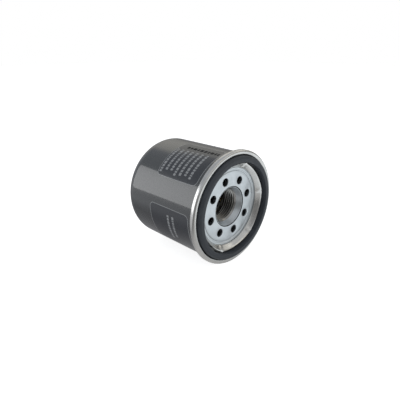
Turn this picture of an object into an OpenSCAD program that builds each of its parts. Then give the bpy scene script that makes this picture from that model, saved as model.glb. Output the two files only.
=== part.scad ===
// Spin-on engine oil filter, lying on its side.
// The filter's axis is the X axis. The open, threaded end points towards +X and +Z is up.
// The origin is the centre of the gasket's sealing face, so every x below is a depth behind that face.

/* [Can] */
// Outside diameter of the drawn can
can_d = 64; // [60:0.5:80]
// Sheet thickness of the can
can_t = 0.4; // [0.3:0.05:0.6]
// Length from the gasket's sealing face to the closed end
overall_l = 66.5; // [60:0.5:90]
// Radius of the shoulder between the wall and the closed end
shoulder_r = 9.5; // [6:0.5:12]
// How far the closed end rises from the shoulder to its centre
crown_rise = 1; // [0.6:0.1:2]

/* [Seam] */
// How far the rolled seam stands out beyond the can's wall
seam_overhang = 2; // [1.9:0.05:2.6]
// Height of the rolled seam along the axis
seam_h = 3.3; // [3:0.1:4]
// How far the gasket's face stands proud of the seam's crest
gasket_proud = 1.8; // [1:0.1:2.4]
// Sheet thickness of the lid that is rolled into the seam
lid_t = 0.5; // [0.4:0.05:0.6]

/* [Gasket and lip] */
// Radial width of the gasket
gasket_w = 3.65; // [3:0.05:5]
// Depth of the tapping plate's face behind the gasket's face
plate_depth = 6.2; // [5.6:0.1:7.5]
// Depth of the lid's inner lip behind the gasket's face
lip_depth = 2.8; // [2.2:0.1:3.4]
// How far the lip's six corners stand out beyond the middles of its sides
lip_corner_h = 1.2; // [0.6:0.1:1.6]
// How far the lip flares out between the plate's face and the middles of its sides
lip_flare = 2.9; // [2:0.1:3.6]
// Angle of the lip's first corner about the axis, from +Y towards +Z
lip_angle = 8.8; // [0:0.1:60]

/* [Tapping plate] */
// Thickness of the tapping plate
plate_t = 2.5; // [2:0.1:4]
// Depth of the threaded neck, from the plate's face to the neck's end
neck_l = 12.3; // [11:0.1:16]
// Wall of the neck, outside the thread's crests
neck_wall = 2.4; // [2:0.1:3]
// Crest diameter of the M20 x 1.5 internal thread
thread_minor_d = 18.376; // [14:0.001:24]
// Clearance between the thread's crests and the small end of the lead-in cone
lead_in_step = 1; // [0.8:0.1:2]
// How far the lead-in cone widens towards the plate's face
lead_in_flare = 1.8; // [1:0.1:3]
// Depth of the lead-in cone
lead_in_l = 3.8; // [3:0.1:5]
// Number of oil inlet holes
hole_count = 8; // [4:1:10]
// Diameter of each inlet hole
hole_d = 4.8; // [3:0.1:6]
// Land between the lead-in cone's mouth and the inlet holes
hole_land = 2; // [1.6:0.1:3]
// Angle of the first inlet hole about the axis, from +Y towards +Z
hole_angle = 15.1; // [0:0.1:45]

/* [Drain-back valve] */
// Rubber thickness of the valve's collar round the neck
collar_t = 1.4; // [1:0.1:2]
// Rubber thickness of the foot that the neck presses on the element
foot_t = 1.4; // [1:0.1:2]
// Thickness of the valve's flexible lip
flap_t = 0.9; // [0.6:0.1:1.4]
// How far the lip laps past the inlet holes
flap_lap = 2.4; // [1.5:0.1:4]

/* [Element] */
// Oil space between the element and the can's wall
oil_gap = 3.2; // [2:0.1:5]
// Sheet thickness of the end caps
cap_t = 0.5; // [0.3:0.05:0.8]
// Height of each end cap's rim
cap_rim = 3.5; // [2:0.1:5]
// Thickness of the adhesive that bonds the paper to each end cap
potting_t = 1.5; // [1:0.1:3]
// Step between the end cap's bore and the centre tube's bore
tube_step = 1.6; // [0.8:0.1:4]
// Wall of the centre tube
tube_t = 0.4; // [0.3:0.05:0.8]
// Diameter of the holes in the centre tube
perforation_d = 3.2; // [2:0.1:4]
// Spacing of the centre tube's rows of holes
perforation_pitch = 4.6; // [4:0.1:8]
// Number of holes in each row round the centre tube
perforation_count = 10; // [6:1:12]
// Number of pleats in the filter paper
pleat_count = 44; // [30:1:50]
// Thickness of the filter paper
paper_t = 0.4; // [0.2:0.05:0.6]
// Room for the hold-down spring with the element pushed right back
hold_room = 12.1; // [11:0.1:18]
// How far the element can slide back against the hold-down spring
float_travel = 1.5; // [0.5:0.1:2]

/* [Bypass valve] */
// Bore of the bypass valve's seat
seat_bore = 12; // [8:0.5:15]
// Sheet thickness of the bypass valve's pressings
valve_t = 0.5; // [0.4:0.05:0.8]
// Room for the bypass valve's spring with the valve wide open, down to the seat's flange
bypass_room = 5.5; // [5:0.1:9]
// Diameter of the valve's guide stem
stem_d = 3; // [2:0.1:4]
// How far the bypass valve opens
bypass_travel = 2.5; // [1.5:0.1:3]
// Wire diameter of the bypass valve's spring
bypass_wire_d = 0.8; // [0.5:0.1:1]
// Wire diameter of the hold-down spring
hold_wire_d = 1.6; // [1:0.1:2]
// Coils in the hold-down spring
hold_turns = 5; // [4:1:6]

/* [Hidden] */
$fn = 96;

// Clearances
seam_gap = 0.05;      // between the layers of the rolled seam
fit_gap = 0.1;        // between flat faces of pieces that move apart, and round loose rubber
wall_gap = 0.3;       // between the plate and the can's wall
stem_gap = 0.08;      // running clearance round the guide stem
valve_gap = 0.4;      // between the bypass disc and its cage
spring_gap = 0.15;    // between a spring's end coil and what centres it
bend_step = 15;       // largest turn of one step round a bend, in degrees

// Can and seam, as radii and depths of each sheet's middle line
can_r = can_d / 2;
can_bore_r = can_r - can_t;
can_mid_r = can_r - can_t / 2;
can_end_x = can_t / 2 - overall_l;
crown_flat_r = 8;
crown_bend_r = 40;
seam_r = can_r + seam_overhang;
crest_x = -gasket_proud;
chuck_r = can_bore_r - seam_gap - lid_t / 2;
lid_hook_r = can_r + seam_gap + lid_t / 2;
can_hook_r = lid_hook_r + lid_t / 2 + seam_gap + can_t / 2;
skirt_r = seam_r - lid_t / 2;
seam_top_x = crest_x - lid_t / 2;
seam_back_x = crest_x - seam_h + lid_t / 2;
can_curl_x = crest_x - lid_t - seam_gap - can_t / 2;
can_curl_r = (can_hook_r - can_mid_r) / 2;
lid_hook_x = can_curl_x - can_t / 2 - 4 * seam_gap;
crest_bend_r = 0.95;
back_bend_r = (skirt_r - lid_hook_r) / 2 - 0.01;
can_hook_x = seam_back_x + back_bend_r;
channel_bend_r = 0.8;

// Gasket and lip
gasket_r = chuck_r - lid_t / 2 - fit_gap;
gasket_bore_r = gasket_r - gasket_w;
gasket_back_x = lid_t - plate_depth;
gasket_crown_r = 1.6;
gasket_heel_r = 0.8;
gasket_edge_r = 0.4;
lip_corner_r = gasket_bore_r - fit_gap;
lip_side_r = lip_corner_r - lip_corner_h;
lip_land = 0.6;
fold_r = lip_side_r - lip_flare;
fold_bend_r = 0.35;
lid_floor_x = lid_t / 2 - plate_depth;
lip_sides = 6;
lip_steps = 6;

// Tapping plate
plate_x = -plate_depth;
plate_back_x = plate_x - plate_t;
plate_r = can_bore_r - wall_gap;
thread_r = thread_minor_d / 2;
neck_r = thread_r + neck_wall;
neck_x = plate_x - neck_l;
neck_fillet_r = 1.5;
lead_in_r = thread_r + lead_in_step;
mouth_r = lead_in_r + lead_in_flare;
lead_in_x = plate_x - lead_in_l;
thread_x = lead_in_x - lead_in_step;
hole_ring_r = mouth_r + hole_land + hole_d / 2;

// Drain-back valve
collar_bore_r = neck_r + fit_gap;
collar_r = collar_bore_r + collar_t;
foot_front_x = neck_x - fit_gap;
foot_back_x = foot_front_x - foot_t;
foot_bore_r = neck_r - 1;
foot_r = collar_r + 2.9;
flap_r = hole_ring_r + hole_d / 2 + flap_lap;
flap_x = plate_back_x - fit_gap;
flap_bead = 1.1;
flap_root_x = neck_x + 3.3;

// Element
cap_front_x = foot_back_x - fit_gap;
cap_inner_x = cap_front_x - cap_t;
rear_cap_x = can_t - overall_l + hold_room + float_travel;
rear_inner_x = rear_cap_x + cap_t;
cap_r = can_bore_r - oil_gap;
cap_bore_r = neck_r - 0.6;
cap_bend_r = 0.6;
potting_r = cap_r - cap_t - seam_gap;
media_front_x = cap_inner_x - potting_t;
media_back_x = rear_inner_x + potting_t;
tube_bore_r = cap_bore_r + tube_step;
tube_r = tube_bore_r + tube_t;
tube_l = cap_inner_x - rear_inner_x;
tube_margin = 4;
media_r = potting_r - 0.6;
media_bore_r = tube_r + 0.4;
fold_w = 1;           // half the width of a pleat's outer fold
valley_w = 0.15;      // half the width of the gap at a pleat's inner fold
clip_t = 0.3;
clip_gap = 0.05;
clip_depth = 3;

// Bypass valve
seat_r = seat_bore / 2 + valve_t / 2;
seat_flange_r = seat_bore / 2 + 5;
seat_flange_x = rear_cap_x - valve_t / 2;
seat_edge_x = rear_inner_x + 1.2;
rear_bore_r = seat_r + valve_t;
seal_t = 1;
seal_back_x = seat_edge_x + fit_gap / 2;
disc_back_x = seal_back_x + seal_t;
disc_front_x = disc_back_x + valve_t;
disc_r = seat_r + 1.55;
seal_r = disc_r - valve_gap;
boss_r = seat_bore / 2 - 1.7;
cage_r = disc_r + valve_gap + valve_t / 2;
cage_flange_r = tube_bore_r - valve_gap;
cage_roof_x = rear_inner_x + bypass_room + bypass_travel + 1.5 * valve_t;
stem_r = stem_d / 2;
guide_r = stem_r + stem_gap + valve_t / 2;
guide_x = cage_roof_x + 1.4;
stem_end_x = guide_x + 0.6;
window_count = 4;
window_w = 5;
window_l = 4.5;

// Springs
bypass_spring_r = (stem_r + cage_r) / 2;
bypass_turns = 3;
seat_collar_r = seat_flange_r + 1;
seat_collar_h = 2.5;
spring_seat_r = seat_collar_r + 6;
hold_front_r = seat_collar_r + valve_t / 2 + spring_gap + hold_wire_d / 2;
hold_back_r = hold_front_r + 3.8;
hold_front_x = rear_cap_x - valve_t - hold_wire_d / 2 - seam_gap;
crown_slope = crown_rise / (can_mid_r - crown_flat_r);
hold_back_x = can_end_x + can_t / 2 + crown_slope * (hold_back_r - crown_flat_r) + hold_wire_d / 2 + seam_gap;
coil_steps = 20;
wire_sides = 8;
closed_pitch = 1.05;

/* ---- Outlines: every point is [radius, depth, bend radius] ---- */

// The radius and depth of an outline point
function place(p) = [p[0], p[1]];
// A vector of length 1
function unit(v) = v / norm(v);
// A vector turned a quarter turn to the left
function quarter(v) = [-v[1], v[0]];
// A list back to front
function reversed(p) = [for (i = [len(p) - 1:-1:0]) p[i]];

// Points round the bend at b, between a and c
function bend(a, b, c, r) =
    r == 0 ? [b] :
    let (
        u = unit(a - b),
        w = unit(c - b),
        half = acos(u * w) / 2,
        centre = b + unit(u + w) * r / sin(half),
        first = b + u * r / tan(half) - centre,
        turn = (180 - 2 * half) * sign(w[0] * u[1] - w[1] * u[0]),
        steps = max(2, ceil(abs(turn) / bend_step))
    )
    [for (i = [0:steps]) let (q = turn * i / steps)
        centre + [first[0] * cos(q) - first[1] * sin(q), first[0] * sin(q) + first[1] * cos(q)]];

// An open line with its corners bent
function bent_line(p) = [
    for (i = [0:len(p) - 1])
        each (i == 0 || i == len(p) - 1) ? [place(p[i])]
            : bend(place(p[i - 1]), place(p[i]), place(p[i + 1]), p[i][2])
];

// A closed outline with its corners bent
function bent_loop(p) = [
    for (i = [0:len(p) - 1])
        each bend(
            place(p[(i + len(p) - 1) % len(p)]), place(p[i]), place(p[(i + 1) % len(p)]), p[i][2]
        )
];

// A line moved sideways by d
function beside(p, d) = [
    for (i = [0:len(p) - 1])
        let (
            before = unit(i > 0 ? p[i] - p[i - 1] : p[1] - p[0]),
            after = i < len(p) - 1 ? unit(p[i + 1] - p[i]) : before,
            n = quarter(before),
            m = quarter(after),
            q = p[i] + d * (n + m) / (1 + n * m)
        )
        [max(0, q[0]), q[1]]
];

// Turns the drawn profile about the filter's axis
module turned() {
    rotate([0, 90, 0]) rotate_extrude() children();
}

// A pressing of sheet t thick that follows the line p
module pressing(p, t) {
    line = bent_line(p);
    turned() polygon(concat(beside(line, t / 2), reversed(beside(line, -t / 2))));
}

// A turned solid with the outline p
module turning(p) {
    turned() polygon(bent_loop(p));
}

// A plain ring between two radii and two depths
module ring(r_in, r_out, x_back, x_front) {
    turned() translate([r_in, x_back]) square([r_out - r_in, x_front - x_back]);
}

// Copies of the children round the axis, the first at an angle from +Y towards +Z
module around(count, first = 0) {
    for (i = [0:count - 1]) rotate([first + i * 360 / count, 0, 0]) children();
}

// A bar along the axis, drawn from a flat shape in the Y and Z directions
module along(x_back, x_front) {
    translate([x_back, 0, 0]) rotate([90, 0, 90]) linear_extrude(x_front - x_back) children();
}

/* ---- Housing ---- */

can_line = [
    [0, can_end_x],
    [crown_flat_r, can_end_x, crown_bend_r],
    [can_mid_r, can_end_x + crown_rise, shoulder_r],
    [can_mid_r, can_curl_x, can_curl_r - 0.01],
    [can_hook_r, can_curl_x, can_curl_r - 0.01],
    [can_hook_r, can_hook_x]
];

lid_line = [
    [lid_hook_r, lid_hook_x],
    [lid_hook_r, seam_back_x, back_bend_r],
    [skirt_r, seam_back_x, back_bend_r],
    [skirt_r, seam_top_x, crest_bend_r],
    [chuck_r, seam_top_x, crest_bend_r],
    [chuck_r, lid_floor_x, channel_bend_r],
    [fold_r, lid_floor_x, fold_bend_r],
    [lip_side_r - lip_land / 2, -lip_depth - lid_t / 2]
];

// The lip's outline: six sides that bow outwards between the corners
function bowed_outline() =
    let (
        half = 180 / lip_sides,
        half_w = lip_corner_r * sin(half),
        bow = lip_side_r - lip_corner_r * cos(half),
        bow_r = (half_w * half_w + bow * bow) / (2 * bow),
        reach = asin(half_w / bow_r)
    )
    [for (side = [0:lip_sides - 1], i = [0:lip_steps - 1])
        let (
            q = -reach + 2 * reach * i / lip_steps,
            y = lip_side_r - bow_r + bow_r * cos(q),
            z = bow_r * sin(q),
            turn = lip_angle + half + side * 2 * half
        )
        [y * cos(turn) - z * sin(turn), y * sin(turn) + z * cos(turn)]];

module can() {
    color("dimgray") pressing(can_line, can_t);
}

module seaming_lid() {
    color("silver") {
        pressing(lid_line, lid_t);
        along(-lip_depth - lid_t, -lip_depth) difference() {
            polygon(bowed_outline());
            circle(lip_side_r - lip_land);
        }
    }
}

module seam_compound() {
    color("saddlebrown")
        ring(can_hook_r + (can_t + seam_gap) / 2, skirt_r - (lid_t + seam_gap) / 2, can_hook_x,
             seam_top_x - crest_bend_r);
}

tapping_outline = [
    [mouth_r, plate_x, 0],
    [plate_r, plate_x, 0.3],
    [plate_r, plate_back_x, 0.3],
    [neck_r, plate_back_x, neck_fillet_r],
    [neck_r, neck_x, 0.4],
    [thread_r, neck_x, 0],
    [thread_r, thread_x, 0],
    [lead_in_r, lead_in_x, 0]
];

module tapping_plate() {
    color("lightsteelblue") difference() {
        turning(tapping_outline);
        around(hole_count, hole_angle)
            translate([plate_back_x - 1, hole_ring_r, 0])
                rotate([0, 90, 0]) cylinder(d = hole_d, h = plate_t + 2, $fn = 48);
    }
}

gasket_outline = [
    [gasket_bore_r, 0, gasket_edge_r],
    [gasket_r, 0, gasket_crown_r],
    [gasket_r, gasket_back_x, gasket_heel_r],
    [gasket_bore_r, gasket_back_x, gasket_edge_r]
];

module gasket() {
    color("darkslategray") turning(gasket_outline);
}

/* ---- Drain-back valve ---- */

flap_slope = unit([flap_r - flap_bead - collar_r, flap_x - flap_bead - flap_root_x]);
flap_across = quarter(flap_slope) * flap_t;

drainback_outline = [
    [foot_bore_r, foot_front_x, 0.2],
    [foot_bore_r, foot_back_x, 0.2],
    [foot_r, foot_back_x, 0.3],
    [foot_r, foot_front_x, 0.3],
    [collar_r, foot_front_x, 0.5],
    [collar_r, flap_root_x, 1.2],
    [flap_r - flap_bead, flap_x - flap_bead, 1.2],
    [flap_r, flap_x - flap_bead, 0.3],
    [flap_r, flap_x, 0.3],
    [flap_r - flap_bead, flap_x, 0.2],
    [flap_r - flap_bead + flap_across[0], flap_x - flap_bead + flap_across[1], 0.2],
    [collar_r + flap_across[0] + 0.3, flap_root_x + flap_across[1] + 0.2, 0.3],
    [collar_bore_r, flap_root_x + flap_t + 0.4, 0.2],
    [collar_bore_r, foot_front_x, 0]
];

module drainback_valve() {
    color([0.15, 0.15, 0.16]) turning(drainback_outline);
}

/* ---- Element ---- */

front_cap_line = [
    [cap_bore_r, cap_front_x - cap_t / 2],
    [cap_r - cap_t / 2, cap_front_x - cap_t / 2, cap_bend_r],
    [cap_r - cap_t / 2, cap_front_x - cap_rim]
];

rear_cap_line = [
    [rear_bore_r, rear_cap_x + cap_t / 2],
    [cap_r - cap_t / 2, rear_cap_x + cap_t / 2, cap_bend_r],
    [cap_r - cap_t / 2, rear_cap_x + cap_rim]
];

module front_end_cap() {
    color("gainsboro") pressing(front_cap_line, cap_t);
}

module rear_end_cap() {
    color("gainsboro") pressing(rear_cap_line, cap_t);
}

// A disc of set adhesive whose rounded edge is against the cap at x_cap
module potting(x_cap, x_media) {
    turning([
        [tube_r + seam_gap, x_cap, 0],
        [potting_r, x_cap, cap_bend_r],
        [potting_r, x_media, 0],
        [tube_r + seam_gap, x_media, 0]
    ]);
}

module front_potting() {
    color("khaki") potting(cap_inner_x, media_front_x);
}

module rear_potting() {
    color("khaki") potting(rear_inner_x, media_back_x);
}

// One face of the pleated paper, with folds at two radii and half widths there
function pleats(r_fold, w_fold, r_valley, w_valley) = [
    for (i = [0:pleat_count - 1])
        let (
            middle = i * 360 / pleat_count,
            half = 180 / pleat_count,
            fold = asin(w_fold / r_fold),
            valley = half - asin(w_valley / r_valley)
        )
        each [
            for (p = [[r_valley, -valley], [r_fold, -fold], [r_fold, fold], [r_valley, valley]])
                [p[0] * cos(middle + p[1]), p[0] * sin(middle + p[1])]
        ]
];

module filter_media() {
    color("wheat") along(media_back_x, media_front_x) difference() {
        polygon(pleats(media_r, fold_w, media_bore_r + paper_t, valley_w));
        polygon(pleats(media_r - paper_t, fold_w - paper_t, media_bore_r, valley_w + paper_t));
    }
}

// Channel that grips the paper's last pleat, on the +Y side
module media_clip() {
    bore_w = fold_w + clip_gap;
    color("silver") along(media_back_x + clip_gap, media_front_x - clip_gap)
        translate([media_r - clip_depth, 0]) difference() {
            translate([0, -bore_w - clip_t])
                square([clip_depth + clip_gap + clip_t, 2 * (bore_w + clip_t)]);
            translate([-1, -bore_w]) square([clip_depth + clip_gap + 1, 2 * bore_w]);
        }
}

module centre_tube() {
    rows = floor((tube_l - 2 * tube_margin) / perforation_pitch);
    step = (tube_l - 2 * tube_margin) / rows;
    color("silver") difference() {
        ring(tube_bore_r, tube_r, rear_inner_x, cap_inner_x);
        for (row = [0:rows])
            around(perforation_count, (row % 2) * 180 / perforation_count)
                translate([rear_inner_x + tube_margin + row * step, tube_bore_r - 1, 0])
                    rotate([-90, 0, 0]) cylinder(d = perforation_d, h = tube_t + 2, $fn = 24);
    }
}

/* ---- Bypass valve ---- */

bypass_seat_line = [
    [seat_flange_r, seat_flange_x],
    [seat_r, seat_flange_x, 0.5],
    [seat_r, seat_edge_x]
];

bypass_cage_line = [
    [cage_flange_r, rear_inner_x + valve_t / 2],
    [cage_r, rear_inner_x + valve_t / 2, 0.5],
    [cage_r, cage_roof_x, 0.5],
    [guide_r, cage_roof_x, 0.3],
    [guide_r, guide_x]
];

module bypass_seat() {
    color("lightgray") pressing(bypass_seat_line, valve_t);
}

module bypass_cage() {
    color("silver") difference() {
        pressing(bypass_cage_line, valve_t);
        around(window_count, 45)
            translate([cage_roof_x - 1.5 - window_l, cage_r - 1, -window_w / 2])
                cube([window_l, 2, window_w]);
    }
}

bypass_disc_outline = [
    [0, seal_back_x, 0],
    [boss_r, seal_back_x, 0],
    [boss_r, disc_back_x, 0],
    [disc_r, disc_back_x, 0.1],
    [disc_r, disc_front_x, 0.1],
    [stem_r, disc_front_x, 0],
    [stem_r, stem_end_x, 0.4],
    [0, stem_end_x, 0]
];

module bypass_disc() {
    color("gray") turning(bypass_disc_outline);
}

module bypass_seal() {
    color("darkslategray") ring(boss_r, seal_r, seal_back_x, disc_back_x);
}

/* ---- Springs ---- */

// Depth of a coil spring's wire after so many turns, with one closed coil at each end
function coil_x(turn, turns, x_first, x_last, wire_d) =
    let (
        way = sign(x_last - x_first),
        closed = closed_pitch * wire_d,
        open = (abs(x_last - x_first) - 2 * closed) / (turns - 2),
        climb = turn < 1 ? turn * closed
            : turn < turns - 1 ? closed + (turn - 1) * open
            : closed + (turns - 2) * open + (turn - turns + 1) * closed
    )
    x_first + way * climb;

// Round wire wound about the axis, from one depth and radius to another
module coil(turns, x_first, x_last, r_first, r_last, wire_d) {
    rings = turns * coil_steps;
    wire_r = wire_d / 2;
    points = [
        for (i = [0:rings], k = [0:wire_sides - 1])
            let (
                turn = i / coil_steps,
                q = 360 * turn,
                b = 360 * k / wire_sides,
                r = r_first + (r_last - r_first) * i / rings + wire_r * cos(b)
            )
            [coil_x(turn, turns, x_first, x_last, wire_d) + wire_r * sin(b), r * cos(q), r * sin(q)]
    ];
    sides = [
        for (i = [0:rings - 1], k = [0:wire_sides - 1])
            let (next = (k + 1) % wire_sides, a = i * wire_sides, b = a + wire_sides)
            each [[a + k, a + next, b + next], [a + k, b + next, b + k]]
    ];
    first_end = [for (k = [wire_sides - 1:-1:0]) k];
    last_end = [for (k = [0:wire_sides - 1]) rings * wire_sides + k];
    polyhedron(points, concat(sides, [first_end, last_end]));
}

module bypass_spring() {
    color("silver")
        coil(bypass_turns, disc_front_x + bypass_wire_d / 2 + seam_gap,
             cage_roof_x - valve_t / 2 - bypass_wire_d / 2 - seam_gap,
             bypass_spring_r, bypass_spring_r, bypass_wire_d);
}

spring_seat_line = [
    [spring_seat_r, seat_flange_x],
    [seat_collar_r, seat_flange_x, 0.5],
    [seat_collar_r, seat_flange_x - seat_collar_h]
];

module spring_seat() {
    color("lightgray") pressing(spring_seat_line, valve_t);
}

module hold_down_spring() {
    color("silver")
        coil(hold_turns, hold_front_x, hold_back_x, hold_front_r, hold_back_r, hold_wire_d);
}

can();
seaming_lid();
seam_compound();
tapping_plate();
gasket();
drainback_valve();
front_end_cap();
front_potting();
filter_media();
media_clip();
centre_tube();
rear_potting();
rear_end_cap();
bypass_seat();
bypass_cage();
bypass_disc();
bypass_seal();
bypass_spring();
spring_seat();
hold_down_spring();
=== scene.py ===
"""Looks of a spin-on oil filter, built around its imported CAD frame.

The filter lies along X with its open end towards +X, and +Z is up. A depth is
a place along X, and 0 is the gasket's sealing face. Sizes are in millimetres
unless a name says otherwise, and every mesh is made in metres.
"""

import logging
import math
import random
from collections.abc import Sequence
from dataclasses import dataclass, field
from enum import Enum

import bmesh
import bpy
from mathutils import Matrix, Vector


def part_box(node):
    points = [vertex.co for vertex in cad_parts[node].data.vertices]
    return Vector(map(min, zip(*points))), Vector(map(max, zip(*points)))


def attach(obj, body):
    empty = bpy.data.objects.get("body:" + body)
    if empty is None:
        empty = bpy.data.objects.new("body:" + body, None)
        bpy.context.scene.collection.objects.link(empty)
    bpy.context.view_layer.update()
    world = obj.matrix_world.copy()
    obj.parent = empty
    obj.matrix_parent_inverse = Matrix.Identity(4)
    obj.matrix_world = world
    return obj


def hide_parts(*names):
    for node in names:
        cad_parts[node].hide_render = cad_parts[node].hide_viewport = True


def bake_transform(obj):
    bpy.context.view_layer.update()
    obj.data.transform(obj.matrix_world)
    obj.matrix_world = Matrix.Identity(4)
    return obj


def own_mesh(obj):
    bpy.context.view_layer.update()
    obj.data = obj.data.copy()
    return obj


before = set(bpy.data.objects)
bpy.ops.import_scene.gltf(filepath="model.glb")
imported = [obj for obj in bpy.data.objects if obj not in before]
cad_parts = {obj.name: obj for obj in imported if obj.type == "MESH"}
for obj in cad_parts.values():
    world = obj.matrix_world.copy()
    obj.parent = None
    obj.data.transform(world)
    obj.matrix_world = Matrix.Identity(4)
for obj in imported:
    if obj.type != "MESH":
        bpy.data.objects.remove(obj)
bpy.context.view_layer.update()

MM = 0.001
TURN_STEPS = 192
MERGE_DISTANCE = 1e-6
FIELD_INK, LINE_INK, HEADING_INK = range(3)
# Material slots of the tapping plate; the last is painted shade on the mouth groove's faces.
PLATE_STEEL, CUT_STEEL, PAINTED_GROOVE_SHADE = range(3)

Colour = tuple[float, float, float]
log = logging.getLogger("oil_filter")


class Body(Enum):
    """The CAD bodies that a piece can move with."""

    HOUSING = "housing"
    ELEMENT = "element"
    VALVE_LIP = "drainback_lip"


class Joint(Enum):
    """The joints that squeeze a spring."""

    FLOAT = "element_float"
    BYPASS = "bypass_opening"


# --------------------------------------------------------------------------
# Turned and pressed shapes
# --------------------------------------------------------------------------


@dataclass(frozen=True)
class Corner:
    """One corner of an outline that is turned about the filter's axis."""

    radius: float
    depth: float
    bend: float = 0.0
    steps: int = 6

    def point(self) -> Vector:
        """Returns the corner in the XY half plane, in millimetres."""
        return Vector((self.depth, self.radius, 0.0))


def bent_wire(corners: Sequence[Corner], closed: bool) -> bmesh.types.BMesh:
    """Draws an outline as edges, with its corners rounded.

    Args:
        corners: The outline's corners in order.
        closed: True if the last corner joins the first.

    Returns:
        A new bmesh that holds the rounded outline.
    """
    bm = bmesh.new()
    verts = [bm.verts.new(corner.point() * MM) for corner in corners]
    ends = verts[1:] + verts[:1] if closed else verts[1:]
    for start, end in zip(verts, ends):
        bm.edges.new((start, end))
    for index, corner in enumerate(corners):
        if not corner.bend:
            continue
        here = corner.point()
        back = corners[index - 1].point() - here
        ahead = corners[(index + 1) % len(corners)].point() - here
        half = back.angle(ahead) / 2
        bmesh.ops.bevel(
            bm,
            geom=[verts[index]],
            offset=corner.bend / math.tan(half) * MM,
            offset_type="OFFSET",
            segments=corner.steps,
            profile=0.5,
            affect="VERTICES",
            material=-1,
        )
    return bm


def turn_round(bm: bmesh.types.BMesh, steps: int = TURN_STEPS) -> None:
    """Spins everything in a bmesh once round the filter's axis.

    Args:
        bm: Holds the outline, and the turned surface afterwards.
        steps: Number of steps in the full turn.
    """
    bmesh.ops.spin(
        bm,
        geom=bm.verts[:] + bm.edges[:],
        cent=(0, 0, 0),
        axis=(1, 0, 0),
        dvec=(0, 0, 0),
        angle=math.tau,
        steps=steps,
        use_merge=True,
        use_duplicate=False,
    )
    bmesh.ops.remove_doubles(bm, verts=bm.verts, dist=MERGE_DISTANCE)
    bmesh.ops.recalc_face_normals(bm, faces=bm.faces)


def radius_of(point: Vector) -> float:
    """Returns a point's distance from the filter's axis, in millimetres."""
    return math.hypot(point.y, point.z) / MM


def move_radially(vert: bmesh.types.BMVert, change: float) -> None:
    """Moves a vertex away from the filter's axis by change, in millimetres."""
    out = Vector((0.0, vert.co.y, vert.co.z)).normalized()
    vert.co += out * change * MM


def break_edges(bm: bmesh.types.BMesh, width: float, sharper_than: float = 50.0) -> None:
    """Puts a small round on every sharp edge, as on a pressed or moulded part.

    Args:
        bm: The closed shape.
        width: Width of the round, in millimetres.
        sharper_than: Only edges that turn by more than this many degrees.
    """
    limit = math.radians(sharper_than)
    edges = [e for e in bm.edges if len(e.link_faces) == 2 and e.calc_face_angle() > limit]
    bmesh.ops.bevel(
        bm,
        geom=edges,
        offset=width * MM,
        offset_type="OFFSET",
        segments=2,
        profile=0.5,
        affect="EDGES",
        material=-1,
        clamp_overlap=True,
    )


@dataclass(frozen=True)
class Piece:
    """A visible piece: its name, what it moves with and what it stands for."""

    name: str
    body: Body
    slot: str
    stands_for: tuple[str, ...] = ()

    def build(
        self,
        bm: bmesh.types.BMesh,
        materials: Sequence[bpy.types.Material],
        crease: float = 32.0,
        ride: bool = True,
    ) -> bpy.types.Object:
        """Turns a bmesh into the finished, shaded piece.

        Args:
            bm: The shape, which is freed.
            materials: The piece's materials in slot order.
            crease: Edges that turn by more than this many degrees stay sharp.
            ride: False to leave the piece unattached to its body.

        Returns:
            The new object.
        """
        mesh = bpy.data.meshes.new(self.name)
        bm.to_mesh(mesh)
        bm.free()
        mesh.shade_smooth()
        mesh.set_sharp_from_angle(angle=math.radians(crease))
        for material in materials:
            mesh.materials.append(material)
        piece = bpy.data.objects.new(self.name, mesh)
        bpy.context.scene.collection.objects.link(piece)
        if ride:
            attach(piece, self.body.value)
        if self.stands_for:
            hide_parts(*self.stands_for)
        log.info("%s: %d faces on %s", self.name, len(mesh.polygons), self.body.value)
        return piece


def span(node: str) -> tuple[float, float]:
    """Returns the depths between which a CAD node lies, in millimetres."""
    low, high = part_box(node)
    return low.x / MM, high.x / MM


def append(bm: bmesh.types.BMesh, other: bmesh.types.BMesh) -> None:
    """Copies one bmesh into another, and frees the copied one."""
    mesh = bpy.data.meshes.new("part")
    other.to_mesh(mesh)
    other.free()
    bm.from_mesh(mesh)
    bpy.data.meshes.remove(mesh)


def thicken(bm: bmesh.types.BMesh, thickness: float) -> bmesh.types.BMesh:
    """Gives a surface the same thickness on both sides.

    Args:
        bm: The sheet's middle surface, which is freed.
        thickness: The sheet's thickness, in millimetres.

    Returns:
        A new bmesh that holds the closed sheet.
    """
    mesh = bpy.data.meshes.new("sheet")
    bm.to_mesh(mesh)
    bm.free()
    sheet = bpy.data.objects.new("sheet", mesh)
    bpy.context.scene.collection.objects.link(sheet)
    wall = sheet.modifiers.new("wall", "SOLIDIFY")
    wall.thickness = thickness * MM
    wall.offset = 0.0
    wall.use_even_offset = True
    wall.use_quality_normals = True
    depsgraph = bpy.context.evaluated_depsgraph_get()
    solid = bmesh.new()
    solid.from_object(sheet, depsgraph)
    bpy.data.objects.remove(sheet)
    bpy.data.meshes.remove(mesh)
    return solid


# --------------------------------------------------------------------------
# Finishes
# --------------------------------------------------------------------------


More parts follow.
